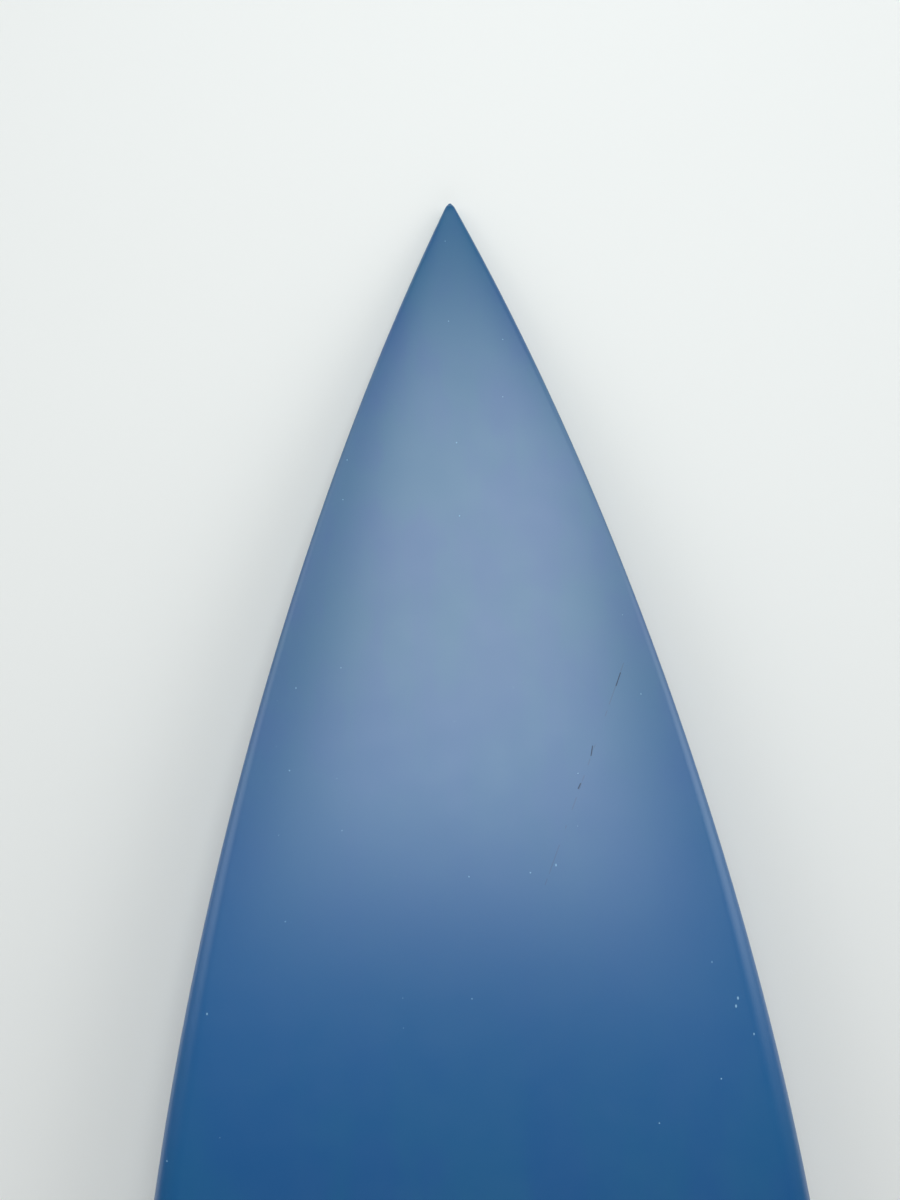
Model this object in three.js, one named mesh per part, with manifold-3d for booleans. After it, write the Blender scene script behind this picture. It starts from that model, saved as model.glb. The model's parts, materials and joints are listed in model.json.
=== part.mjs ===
// A shortboard surfboard with three removable fins, lying deck-down as it is stored: the nose tip and the
// tail touch the floor and the fins point up. Millimetres, +Z up, +Y towards the nose, and the origin on
// the floor under the middle of the board's box.
//
// The board is shaped in its own frame first, deck up, with s measured from the nose tip along the length,
// x across it and z up from the lowest point of the bottom. One group then turns it over and lays it down.
// "Left" and "right" are the rider's, standing on the deck and facing the nose.

import * as THREE from "three";
import { mergeVertices } from "three/addons/utils/BufferGeometryUtils.js";
import Module from "manifold-3d";

const wasm = await Module();
wasm.setup();

// ---- Driving dimensions ----

const LENGTH = 1880; // 6 ft 2 in
const HALF_WIDTH = 237; // 18 5/8 in wide
const THICKNESS = 59; // 2 5/16 in
const WIDE_POINT = 910; // from the nose tip
const THICK_POINT = 890;
const FLAT_POINT = 1000; // the lowest point of the bottom when the deck is up

const NOSE_ROCKER = 127;
const NOSE_ROCKER_POWER = 2.05;
const TAIL_ROCKER = 57;
const NOSE_THICKNESS = 9;
const TAIL_THICKNESS = 15;
const NOSE_THICKNESS_POWER = 1.8;

const TIP_HALF_WIDTH = 2.5;
const TIP_POINT_SHARE = 0.55; // of that half width, left at the very point of the nose
const NOSE_HANDLE = 391; // length of the outline curve's handle at the nose tip
const NOSE_ANGLE = 0.432; // between that handle and the centre line, in radians
const WIDE_HANDLE_FRONT = 184;
const WIDE_HANDLE_BACK = 440;
const TAIL_HALF_WIDTH = 72; // squash tail, where its sides reach the corners
const TAIL_HANDLE = 150;
const TAIL_ANGLE = 0.62;
const TAIL_CORNER = 14; // corner radius seen from above
const TAIL_BULGE = 6; // how far the tail's middle stands out past its corners
const TAIL_BULGE_LENGTH = 80; // over which the end takes on that bulge
const TIP_ROUND = 3;
const NOSE_EDGE_ROUND = 6;
const TAIL_EDGE_ROUND = 7;
const END_EDGE_SHARE = 0.2; // of the thickness, left at the very ends

const TUCK_RATIO = 1.8; // of the lower rail's width to its height
const BELLY_SHARE = 0.05; // how far the bottom turns up at the rails, as a share of the half width
const BELLY_END = 850; // from the nose tip
const BELLY_FADE = 600; // length over which it flattens out
const CONCAVE_DEPTH = 2.5;
const CONCAVE_START = 350; // from the nose tip
const CONCAVE_GROWTH = 400; // length over which it reaches its depth
const CONCAVE_FADE = 300; // length over which it flattens out towards the tail
const APEX_SHARE = 0.25; // height of the rail's widest line, as a share of the thickness
const TAIL_APEX_SHARE = 0.3;
const DECK_POWER = 2;
const TAIL_DECK_POWER = 3.6;
const DECK_RAIL_POWER = 1.8;

const GAP = 0.3; // left between pieces that touch
const LAMINATE = 1;
const STRINGER = 3.2;
const CORE_NOSE_START = 14; // ahead of this the tip is solid laminate
const CORE_TAIL_END = 7;
const CORE_END_GAP = 1; // between the foam's two ends and the laminate

const PLUG_RADIUS = 14;
const PLUG_DEPTH = 16;
const SLOT = { length: 22.8, width: 7, depth: 14.4 };
const TAB = { length: 22, width: 6.2, depth: 13.6, shoulder: 0.8 };
const TAB_Y = [29.5, -30.5]; // middles of the front and rear tabs, from the middle of the fin's base
const SCREW = { radius: 2.5, length: 8, point: 1, chamfer: 0.4, tilt: Math.PI / 6, hex: 1.39, socket: 3 };
const SCREW_POINT = { x: 4.3, z: 8.5 }; // its point, from the middle of the plug's mouth

const FIN_BASE = 111;
const FIN_DEPTH = 115;
const FIN_ROOT_THICKNESS = 6.6;
const FIN_TIP_THICKNESS = 1.6;
const FIN_EDGE = 0.7; // thickness left at the trailing edge
const FIN_TIP = { front: -72, back: -76, rise: 2 };
const LEADING_HANDLES = [[34, -46], [-6, -106]];
const TRAILING_HANDLES = [[-46, -26], [-46, -80]];
const FIN_ROOT_SINK = 4; // how far the blade is drawn into the board, before the board is cut from it
const SIDE_FIN_FROM_TAIL = 279; // 11 in to the trailing edge
const SIDE_FIN_FROM_RAIL = 30;
const SIDE_FIN_CANT = THREE.MathUtils.degToRad(6.5);
const SIDE_FIN_TOE = THREE.MathUtils.degToRad(3.3);
const CENTRE_FIN_FROM_TAIL = 89; // 3 1/2 in to the trailing edge

const CUP = { radius: 14, inner: 11, depth: 15.5, floor: 2.2, foot: 3, proud: 0.5, chamfer: 0.6 };
const CUP_FROM_TAIL = 95;
const CUP_X = -32;
const PIN_RADIUS = 2;
const PIN_BELOW_RIM = 4.7;

const NOSE_STATIONS = 16;
const NOSE_CROWDING = 1.7; // how much closer together the stations are towards the nose
const TAIL_STATIONS = 12;
const TAIL_CROWDING = 1.2;
const TAIL_ZONE = 40; // the end of the tail, which has stations of its own
const NOSE_END_STATIONS = [1, 3, 6]; // from the nose tip
const TAIL_END_STATIONS = [24, 14, 8, 4, 1.5, 0]; // from the end of the tail
const LEAST_SPACING = 0.4;
const BOTTOM_STEPS = 4;
const TUCK_STEPS = 3;
const DECK_STEPS = 7;
const ROUND_SIDES = 32;
const SCREW_SIDES = 16;
const FIN_RINGS = 9;
const FIN_STEPS = 8;
const FAR = 600; // larger than anything it has to cut across the board

const MATERIALS = {
  laminate: new THREE.MeshStandardMaterial({ color: 0x1d5588, roughness: 0.42, metalness: 0 }),
  foam: new THREE.MeshStandardMaterial({ color: 0xf3efe2, roughness: 0.95, metalness: 0 }),
  wood: new THREE.MeshStandardMaterial({ color: 0xc79a63, roughness: 0.7, metalness: 0 }),
  plug: new THREE.MeshStandardMaterial({ color: 0xd8dadb, roughness: 0.5, metalness: 0 }),
  fin: new THREE.MeshStandardMaterial({ color: 0x24272b, roughness: 0.38, metalness: 0 }),
  steel: new THREE.MeshStandardMaterial({ color: 0xb9bcc0, roughness: 0.3, metalness: 1 }),
};

// ---- Solids: closed geometry to manifold and back ----

function positionsOnly(geometry) {
  const bare = new THREE.BufferGeometry();
  bare.setAttribute("position", geometry.getAttribute("position"));
  bare.setIndex(geometry.index);
  return mergeVertices(bare, 1e-3);
}

function solid(geometry) {
  const merged = positionsOnly(geometry);
  const vertProperties = new Float32Array(merged.attributes.position.array);
  const triVerts = new Uint32Array(merged.index.array);
  const made = new wasm.Manifold(new wasm.Mesh({ numProp: 3, vertProperties, triVerts }));
  if (made.volume() >= 0) return made;
  triVerts.reverse();
  return new wasm.Manifold(new wasm.Mesh({ numProp: 3, vertProperties, triVerts }));
}

function geometryOf(manifold) {
  const mesh = manifold.getMesh();
  const geometry = new THREE.BufferGeometry();
  geometry.setAttribute("position", new THREE.BufferAttribute(mesh.vertProperties, 3));
  geometry.setIndex(new THREE.BufferAttribute(mesh.triVerts, 1));
  return geometry;
}

function cutAway(body, cutters) {
  return cutters.reduce((rest, cutter) => rest.subtract(cutter), body);
}

function piece(name, manifold, material) {
  const geometry = geometryOf(manifold).toNonIndexed();
  geometry.computeVertexNormals();
  const mesh = new THREE.Mesh(geometry, material);
  mesh.name = name;
  return mesh;
}

// Rings of points, each ring as long as the next, joined into a closed body with a fan over each end.
function loft(rings) {
  const count = rings[0].length;
  const points = rings.flat();
  const index = [];
  for (let i = 0; i < rings.length - 1; i++) {
    for (let j = 0; j < count; j++) {
      const a = i * count + j;
      const b = i * count + ((j + 1) % count);
      index.push(a, b, a + count, b, b + count, a + count);
    }
  }
  for (const end of [0, rings.length - 1]) {
    const ring = rings[end];
    const middle = ring.reduce((sum, p) => sum.add(p), new THREE.Vector3()).divideScalar(count);
    const centre = points.push(middle) - 1;
    for (let j = 0; j < count; j++) {
      const a = end * count + j;
      const b = end * count + ((j + 1) % count);
      index.push(...(end === 0 ? [centre, b, a] : [centre, a, b]));
    }
  }
  const geometry = new THREE.BufferGeometry().setFromPoints(points);
  geometry.setIndex(index);
  return geometry;
}

// A cylinder along Z between two heights.
function post(radius, low, high, sides = ROUND_SIDES) {
  const geometry = new THREE.CylinderGeometry(radius, radius, high - low, sides);
  geometry.rotateX(Math.PI / 2);
  geometry.translate(0, 0, (low + high) / 2);
  return geometry;
}

function block(width, length, height, x, y, z) {
  return new THREE.BoxGeometry(width, length, height).translate(x, y, z);
}

// ---- The board's shape ----

const ease = (t) => THREE.MathUtils.smoothstep(t, 0, 1);
const mix = THREE.MathUtils.lerp;

// 0 at an end and 1 at a distance of radius from it, as a quarter circle.
function roundOff(distance, radius) {
  const left = 1 - Math.min(distance / radius, 1);
  return Math.sqrt(1 - left * left);
}

const noseOutline = new THREE.CubicBezierCurve(
  new THREE.Vector2(0, TIP_HALF_WIDTH),
  new THREE.Vector2(
    NOSE_HANDLE * Math.cos(NOSE_ANGLE),
    TIP_HALF_WIDTH + NOSE_HANDLE * Math.sin(NOSE_ANGLE),
  ),
  new THREE.Vector2(WIDE_POINT - WIDE_HANDLE_FRONT, HALF_WIDTH),
  new THREE.Vector2(WIDE_POINT, HALF_WIDTH),
);

const tailOutline = new THREE.CubicBezierCurve(
  new THREE.Vector2(WIDE_POINT, HALF_WIDTH),
  new THREE.Vector2(WIDE_POINT + WIDE_HANDLE_BACK, HALF_WIDTH),
  new THREE.Vector2(
    LENGTH - TAIL_HANDLE * Math.cos(TAIL_ANGLE),
    TAIL_HALF_WIDTH + TAIL_HANDLE * Math.sin(TAIL_ANGLE),
  ),
  new THREE.Vector2(LENGTH, TAIL_HALF_WIDTH),
);

// The outline's half width at s, found along its two curves by halving.
function outlineAt(s) {
  const curve = s < WIDE_POINT ? noseOutline : tailOutline;
  let low = 0;
  let high = 1;
  for (let i = 0; i < 40; i++) {
    const middle = (low + high) / 2;
    if (curve.getPoint(middle).x < s) low = middle;
    else high = middle;
  }
  return curve.getPoint(low).y;
}

function halfWidth(s) {
  const tip = mix(TIP_POINT_SHARE, 1, roundOff(s, TIP_ROUND));
  const corner = TAIL_CORNER * (1 - roundOff(LENGTH - s, TAIL_CORNER));
  return outlineAt(s) * tip - corner;
}

function rocker(s) {
  if (s < FLAT_POINT) return NOSE_ROCKER * (1 - s / FLAT_POINT) ** NOSE_ROCKER_POWER;
  return TAIL_ROCKER * ((s - FLAT_POINT) / (LENGTH - FLAT_POINT)) ** 2;
}

function rockerSlope(s) {
  return (rocker(s + 1) - rocker(s - 1)) / 2;
}

function thickness(s) {
  if (s < THICK_POINT) {
    const left = (1 - s / THICK_POINT) ** NOSE_THICKNESS_POWER;
    return mix(THICKNESS, NOSE_THICKNESS, left);
  }
  const left = ((s - THICK_POINT) / (LENGTH - THICK_POINT)) ** 2;
  return mix(THICKNESS, TAIL_THICKNESS, left);
}

// 0 ahead of the fins' half of the board, 1 at the tail.
const towardsTail = (s) => ease((s - FLAT_POINT) / (LENGTH - FLAT_POINT));

function apexHeight(s) {
  return thickness(s) * mix(APEX_SHARE, TAIL_APEX_SHARE, towardsTail(s));
}

// The single concave: how far the bottom is hollowed at a share across of the way out to the tuck.
function hollow(s, across) {
  const front = ease((s - CONCAVE_START) / CONCAVE_GROWTH);
  const back = ease((LENGTH - s) / CONCAVE_FADE);
  const depth = CONCAVE_DEPTH * front * back;
  return depth * (1 - across ** 2) ** 2;
}

// How the rail closes over each end: 1 along the board, almost 0 at its two ends.
function edgeRound(s) {
  const nose = roundOff(s, NOSE_EDGE_ROUND);
  const tail = roundOff(LENGTH - s, TAIL_EDGE_ROUND);
  return Math.max(END_EDGE_SHARE, Math.min(nose, tail));
}

// How far the bottom rises towards the rails in the front of the board.
function belly(s, x) {
  const half = halfWidth(s);
  const depth = BELLY_SHARE * half * ease((BELLY_END - s) / BELLY_FADE);
  return depth * Math.abs(x / half) ** 3;
}

// How far in from the widest line the lower rail starts to turn.
function tuck(s) {
  const half = halfWidth(s);
  const reach = TUCK_RATIO * (apexHeight(s) - belly(s, half));
  return (reach * half) / (half + reach);
}

// Heights of the bottom and the deck at s and x, inside the rail's curves.
function bottomHeight(s, x) {
  const across = x / (halfWidth(s) - tuck(s));
  return rocker(s) + hollow(s, across) + belly(s, x);
}

function deckHeight(s, x) {
  const power = mix(DECK_POWER, TAIL_DECK_POWER, towardsTail(s));
  const dome = (1 - (Math.abs(x) / halfWidth(s)) ** power) ** (1 / DECK_RAIL_POWER);
  return rocker(s) + mix(apexHeight(s), thickness(s), dome);
}

// Half of a cross-section as [x, z], from the middle of the bottom round the rail to the middle of the
// deck, drawn in by inset all round.
function halfSection(s, inset) {
  const half = halfWidth(s) - inset;
  const flat = halfWidth(s) - tuck(s);
  const lift = belly(s, halfWidth(s));
  const round = edgeRound(s);
  const apex = rocker(s) + apexHeight(s);
  const below = (apexHeight(s) - lift) * round - inset;
  const above = (thickness(s) - apexHeight(s)) * round - inset;
  const power = mix(DECK_POWER, TAIL_DECK_POWER, towardsTail(s));
  const points = [];
  for (let i = 0; i < BOTTOM_STEPS; i++) {
    const across = i / BOTTOM_STEPS;
    const x = across * flat;
    points.push([x, apex - below + hollow(s, across) + (belly(s, x) - lift) * round]);
  }
  for (let i = 0; i < TUCK_STEPS; i++) {
    const turn = ((i / TUCK_STEPS) * Math.PI) / 2;
    const x = mix(flat, half, Math.sin(turn));
    points.push([x, apex - below * Math.cos(turn) + (belly(s, x) - lift) * round]);
  }
  for (let i = 0; i <= DECK_STEPS; i++) {
    const turn = ((i / DECK_STEPS) * Math.PI) / 2;
    const x = half * Math.cos(turn) ** (2 / power);
    const z = apex + above * Math.sin(turn) ** (2 / DECK_RAIL_POWER);
    points.push([i === DECK_STEPS ? 0 : x, z]);
  }
  return points;
}

// A closed cross-section as points in the board's frame. The end of the tail bows outwards.
function section(s, inset) {
  const right = halfSection(s, inset);
  const left = right.slice(1, -1).reverse();
  const ring = [...right, ...left.map(([x, z]) => [-x, z])];
  const bow = TAIL_BULGE * ease((s - LENGTH) / TAIL_BULGE_LENGTH + 1);
  return ring.map(([x, z]) => new THREE.Vector3(x, bow * (x / TAIL_HALF_WIDTH) ** 2 - s, z));
}

// Where the board is cut into cross-sections: closer together towards both ends.
function stations(start, end) {
  const found = [start];
  for (let i = 1; i < NOSE_STATIONS; i++) {
    found.push(WIDE_POINT * (i / NOSE_STATIONS) ** NOSE_CROWDING);
  }
  for (let i = 0; i <= TAIL_STATIONS; i++) {
    found.push(mix(LENGTH - TAIL_ZONE, WIDE_POINT, (1 - i / TAIL_STATIONS) ** TAIL_CROWDING));
  }
  found.push(...NOSE_END_STATIONS, ...TAIL_END_STATIONS.map((fromTail) => LENGTH - fromTail));
  const inside = found.filter((s) => s > start + LEAST_SPACING && s < end - LEAST_SPACING);
  return [start, ...inside.sort((a, b) => a - b), end];
}

function boardSolid(start, end, inset) {
  return solid(loft(stations(start, end).map((s) => section(s, inset))));
}

// Everything below the rail's widest line, moved by lift.
function belowApex(lift) {
  const line = stations(0, LENGTH).map(
    (s) => new THREE.Vector2(-s, rocker(s) + apexHeight(s) + lift),
  );
  const nose = line[0];
  const tail = line[line.length - 1];
  const outline = new THREE.Shape([
    new THREE.Vector2(FAR, nose.y),
    ...line,
    new THREE.Vector2(-LENGTH - FAR, tail.y),
    new THREE.Vector2(-LENGTH - FAR, -FAR),
    new THREE.Vector2(FAR, -FAR),
  ]);
  const geometry = new THREE.ExtrudeGeometry(outline, { depth: 2 * FAR, bevelEnabled: false });
  const alongX = new THREE.Matrix4().makeBasis(
    new THREE.Vector3(0, 1, 0),
    new THREE.Vector3(0, 0, 1),
    new THREE.Vector3(1, 0, 0),
  );
  return solid(geometry.applyMatrix4(alongX).translate(-FAR, 0, 0));
}

// ---- Fins, their plugs and the screws that clamp them ----

// A fin set's frame: its origin on the bottom at the middle of the fin's base, +Y towards the nose and +Z
// into the board. side is 1 on the rider's right, -1 on the left and 0 on the centre line.
function finSet(name, side, fromTail) {
  const group = new THREE.Group();
  const s = LENGTH - fromTail - FIN_BASE / 2;
  const x = side * (halfWidth(LENGTH - fromTail) - SIDE_FIN_FROM_RAIL);
  group.position.set(x, -s, bottomHeight(s, x));
  group.rotation.set(-Math.atan(rockerSlope(s)), -side * SIDE_FIN_CANT, side * SIDE_FIN_TOE);
  group.updateMatrixWorld(true);
  return { name, side, group };
}

const plugPlace = (y) => new THREE.Matrix4().makeTranslation(0, y, 0);

function pocketFor(set, y) {
  const pocket = post(PLUG_RADIUS + GAP, -FIN_BASE, PLUG_DEPTH + GAP);
  return solid(pocket.applyMatrix4(plugPlace(y)).applyMatrix4(set.group.matrixWorld));
}

// The clamping side of a fin set: the flat inner face of a side fin.
const clampSide = (set) => (set.side === 0 ? 1 : -set.side);

// Places geometry made along Z, point first, on the screw's slanting axis.
function onScrewAxis(geometry, set, y) {
  geometry.rotateY(clampSide(set) * -SCREW.tilt);
  return geometry.translate(clampSide(set) * SCREW_POINT.x, y, SCREW_POINT.z);
}

function screwSolid(set, y) {
  const cone = (SCREW.radius - SCREW.point) / Math.tan(SCREW.tilt);
  const profile = [
    new THREE.Vector2(0, 0),
    new THREE.Vector2(SCREW.point, 0),
    new THREE.Vector2(SCREW.radius, cone),
    new THREE.Vector2(SCREW.radius, SCREW.length - SCREW.chamfer),
    new THREE.Vector2(SCREW.radius - SCREW.chamfer, SCREW.length),
    new THREE.Vector2(0, SCREW.length),
  ];
  const body = new THREE.LatheGeometry(profile, SCREW_SIDES).rotateX(-Math.PI / 2);
  const socket = post(SCREW.hex, -SCREW.length - 1, SCREW.socket - SCREW.length, 6);
  return solid(onScrewAxis(body, set, y)).subtract(solid(onScrewAxis(socket, set, y)));
}

function plugSolid(set, y, board) {
  const body = solid(post(PLUG_RADIUS, -PLUG_DEPTH, PLUG_DEPTH).translate(0, y, 0));
  const slot = block(SLOT.width, SLOT.length, 2 * SLOT.depth, 0, y, 0);
  const hole = post(SCREW.radius + GAP, -2 * SCREW.length, 1, SCREW_SIDES);
  const cutters = [solid(slot), solid(onScrewAxis(hole, set, y))];
  return cutAway(body.intersect(board), cutters);
}

// Thickness of the blade's foil at a share of the chord back from the leading edge, 1 at its thickest: the
// usual four-digit wing section.
function foil(c) {
  const shape = 0.2969 * Math.sqrt(c) - 0.126 * c - 0.3516 * c ** 2 + 0.2843 * c ** 3 - 0.1015 * c ** 4;
  return 10 * shape;
}

// The blade's edges as (y, z) in the fin set's frame, from its base to its tip.
const leadingEdge = new THREE.CubicBezierCurve(
  new THREE.Vector2(FIN_BASE / 2, 0),
  ...LEADING_HANDLES.map(([y, z]) => new THREE.Vector2(y, z)),
  new THREE.Vector2(FIN_TIP.front, -FIN_DEPTH),
);

const trailingEdge = new THREE.CubicBezierCurve(
  new THREE.Vector2(-FIN_BASE / 2, 0),
  ...TRAILING_HANDLES.map(([y, z]) => new THREE.Vector2(y, z)),
  new THREE.Vector2(FIN_TIP.back, FIN_TIP.rise - FIN_DEPTH),
);

// One closed ring round the blade, a share t of the way from the base to the tip. Side fins are flat on
// the inside and foiled on the outside, and the centre fin is foiled on both.
function bladeRing(t, side, sink) {
  const front = leadingEdge.getPoint(t);
  const back = trailingEdge.getPoint(t);
  const most = mix(FIN_ROOT_THICKNESS, FIN_TIP_THICKNESS, t);
  const outer = [];
  const inner = [];
  for (let i = 0; i <= FIN_STEPS; i++) {
    const c = (1 - Math.cos((Math.PI * i) / FIN_STEPS)) / 2;
    const at = front.clone().lerp(back, c);
    const full = FIN_EDGE + (most - FIN_EDGE) * foil(c);
    const inside = side === 0 ? -full / 2 : -TAB.width / 2;
    const facing = side === 0 ? 1 : side;
    outer.push(new THREE.Vector3(facing * (inside + full), at.x, at.y + sink));
    inner.push(new THREE.Vector3(facing * inside, at.x, at.y + sink));
  }
  return [...outer, ...inner.reverse()];
}

function finSolid(set, board) {
  const rings = [bladeRing(0, set.side, FIN_ROOT_SINK)];
  for (let i = 0; i <= FIN_RINGS; i++) {
    rings.push(bladeRing(Math.sin(((i / FIN_RINGS) * Math.PI) / 2), set.side, 0));
  }
  const blade = solid(loft(rings)).subtract(board);
  const height = TAB.depth + TAB.shoulder;
  return TAB_Y.reduce((fin, y) => {
    const tab = block(TAB.width, TAB.length, height, 0, y, TAB.depth - height / 2);
    return fin.add(solid(tab));
  }, blade);
}

// ---- The leash cup in the deck ----

// Its frame: the origin on the deck, +Z out of the deck and +Y towards the nose.
function cupGroup() {
  const group = new THREE.Group();
  const s = LENGTH - CUP_FROM_TAIL;
  const alongSlope = (deckHeight(s + 1, CUP_X) - deckHeight(s - 1, CUP_X)) / 2;
  const acrossSlope = (deckHeight(s, CUP_X + 1) - deckHeight(s, CUP_X - 1)) / 2;
  group.position.set(CUP_X, -s, deckHeight(s, CUP_X));
  group.rotation.set(-Math.atan(alongSlope), -Math.atan(acrossSlope), 0);
  group.updateMatrixWorld(true);
  return group;
}

const pinDepth = PIN_BELOW_RIM - CUP.proud;

function pinSolid(radius, half) {
  return solid(post(radius, -half, half, SCREW_SIDES).rotateY(Math.PI / 2).translate(0, 0, -pinDepth));
}

function cupSolid() {
  const profile = [
    new THREE.Vector2(0, -CUP.depth),
    new THREE.Vector2(CUP.radius - CUP.chamfer, -CUP.depth),
    new THREE.Vector2(CUP.radius, CUP.chamfer - CUP.depth),
    new THREE.Vector2(CUP.radius, CUP.proud - CUP.chamfer),
    new THREE.Vector2(CUP.radius - CUP.chamfer, CUP.proud),
    new THREE.Vector2(CUP.inner, CUP.proud),
    new THREE.Vector2(CUP.inner, CUP.floor - CUP.depth + CUP.foot),
    new THREE.Vector2(CUP.inner - CUP.foot, CUP.floor - CUP.depth),
    new THREE.Vector2(0, CUP.floor - CUP.depth),
  ];
  const body = new THREE.LatheGeometry(profile, ROUND_SIDES).rotateX(Math.PI / 2);
  return solid(body).subtract(pinSolid(PIN_RADIUS + GAP, 2 * CUP.radius));
}

function cupPocket(group) {
  const pocket = post(CUP.radius + GAP, -CUP.depth - GAP, 2 * CUP.depth);
  return solid(pocket.applyMatrix4(group.matrixWorld));
}

// ---- Assembly, deck up ----

function body(pockets, cup) {
  const shell = boardSolid(0, LENGTH, 0).subtract(
    boardSolid(CORE_NOSE_START, LENGTH - CORE_TAIL_END, LAMINATE),
  );
  const core = cutAway(
    boardSolid(CORE_NOSE_START + CORE_END_GAP, LENGTH - CORE_TAIL_END - CORE_END_GAP, LAMINATE + GAP),
    [...pockets, cup],
  );
  const beside = (side) => {
    const middle = side * (STRINGER / 2 + GAP + FAR / 2);
    return solid(block(FAR, 2 * LENGTH, FAR, middle, -LENGTH / 2, 0));
  };
  const slab = solid(block(STRINGER, 2 * LENGTH, FAR, 0, -LENGTH / 2, 0));
  const bottom = shell.intersect(belowApex(-GAP / 2));
  const deck = shell.subtract(belowApex(GAP / 2));
  return [
    piece("deck_laminate", deck.subtract(cup), MATERIALS.laminate),
    piece("bottom_laminate", cutAway(bottom, pockets), MATERIALS.laminate),
    piece("foam_core_right", core.intersect(beside(1)), MATERIALS.foam),
    piece("foam_core_left", core.intersect(beside(-1)), MATERIALS.foam),
    piece("stringer", core.intersect(slab), MATERIALS.wood),
  ];
}

// The whole board in a fin set's frame, moved out of the bottom by out, to cut the set's pieces with.
function boardSeenFrom(set, out) {
  const rings = stations(0, LENGTH).map((s) => section(s, 0));
  const inverse = set.group.matrixWorld.clone().invert();
  return solid(loft(rings).applyMatrix4(inverse).translate(0, 0, -out));
}

function addFinSet(set) {
  const flush = boardSeenFrom(set, 0);
  set.group.add(piece(`${set.name}_fin`, finSolid(set, boardSeenFrom(set, GAP)), MATERIALS.fin));
  TAB_Y.forEach((y, i) => {
    const place = i === 0 ? "front" : "rear";
    const plug = plugSolid(set, y, flush);
    set.group.add(piece(`${set.name}_${place}_plug`, plug, MATERIALS.plug));
    set.group.add(piece(`${set.name}_${place}_screw`, screwSolid(set, y), MATERIALS.steel));
  });
}

function shapedBoard() {
  const board = new THREE.Group();
  const sets = [
    finSet("right", 1, SIDE_FIN_FROM_TAIL),
    finSet("left", -1, SIDE_FIN_FROM_TAIL),
    finSet("centre", 0, CENTRE_FIN_FROM_TAIL),
  ];
  const cup = cupGroup();
  const pockets = sets.flatMap((set) => TAB_Y.map((y) => pocketFor(set, y)));
  board.add(...body(pockets, cupPocket(cup)));
  sets.forEach(addFinSet);
  cup.add(piece("leash_cup", cupSolid(), MATERIALS.plug));
  cup.add(piece("leash_pin", pinSolid(PIN_RADIUS, CUP.radius - GAP), MATERIALS.steel));
  board.add(...sets.map((set) => set.group), cup);
  return board;
}

// ---- Turned over and laid on the floor ----

function lowestPoints(group) {
  const lowest = { nose: Infinity, tail: Infinity };
  const point = new THREE.Vector3();
  group.updateMatrixWorld(true);
  group.traverse((mesh) => {
    if (!mesh.isMesh) return;
    const position = mesh.geometry.getAttribute("position");
    for (let i = 0; i < position.count; i++) {
      point.fromBufferAttribute(position, i).applyMatrix4(mesh.matrixWorld);
      const end = point.y > -LENGTH / 2 ? "nose" : "tail";
      lowest[end] = Math.min(lowest[end], point.z);
    }
  });
  return lowest;
}

function laidDown(board) {
  const turned = new THREE.Group();
  board.rotation.y = Math.PI;
  turned.add(board);
  for (let i = 0; i < 4; i++) {
    const { nose, tail } = lowestPoints(turned);
    turned.rotation.x += Math.atan((tail - nose) / LENGTH);
  }
  const placed = new THREE.Group();
  placed.add(turned);
  placed.updateMatrixWorld(true);
  const box = new THREE.Box3().setFromObject(placed, true);
  const middle = box.getCenter(new THREE.Vector3());
  turned.position.set(-middle.x, -middle.y, -box.min.z);
  return placed;
}

export default laidDown(shapedBoard());
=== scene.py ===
"""The looks of a satin blue shortboard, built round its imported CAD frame.

Metres throughout. The board is drawn in its shaper's frame, as the CAD has it: deck up, s measured from
the nose tip along the length, x across and z up. board_to_row() then carries it to the row frame, where it
lies deck down with its fins up.
"""

import json
import math

import bmesh
import bpy
import numpy as np
from mathutils import Matrix, Vector, kdtree


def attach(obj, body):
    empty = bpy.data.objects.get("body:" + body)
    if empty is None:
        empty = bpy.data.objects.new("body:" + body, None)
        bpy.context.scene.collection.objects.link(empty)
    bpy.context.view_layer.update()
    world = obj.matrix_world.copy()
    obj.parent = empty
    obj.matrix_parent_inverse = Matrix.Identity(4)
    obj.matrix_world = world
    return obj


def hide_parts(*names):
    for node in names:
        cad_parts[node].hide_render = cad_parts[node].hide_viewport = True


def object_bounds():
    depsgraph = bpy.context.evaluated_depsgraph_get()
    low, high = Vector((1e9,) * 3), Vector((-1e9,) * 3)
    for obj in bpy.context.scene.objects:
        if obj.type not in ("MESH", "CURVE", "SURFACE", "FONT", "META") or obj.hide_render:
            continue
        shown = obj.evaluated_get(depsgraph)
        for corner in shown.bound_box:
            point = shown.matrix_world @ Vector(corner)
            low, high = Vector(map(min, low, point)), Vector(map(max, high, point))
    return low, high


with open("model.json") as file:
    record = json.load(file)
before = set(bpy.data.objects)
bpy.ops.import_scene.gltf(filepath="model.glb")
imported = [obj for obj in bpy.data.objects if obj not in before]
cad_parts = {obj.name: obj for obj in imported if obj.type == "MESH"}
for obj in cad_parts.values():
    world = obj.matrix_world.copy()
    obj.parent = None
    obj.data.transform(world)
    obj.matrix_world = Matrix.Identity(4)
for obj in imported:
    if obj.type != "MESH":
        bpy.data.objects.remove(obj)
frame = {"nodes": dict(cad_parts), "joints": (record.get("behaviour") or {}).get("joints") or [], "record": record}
CAD_BOX = [list(corner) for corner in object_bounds()]
JOINTS = {joint["name"]: joint for joint in frame["joints"]}
MOUNTS = {mount["name"]: mount for mount in frame["record"]["mounts"]}

# ---- The board's dimensions, as the CAD has them ----

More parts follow.
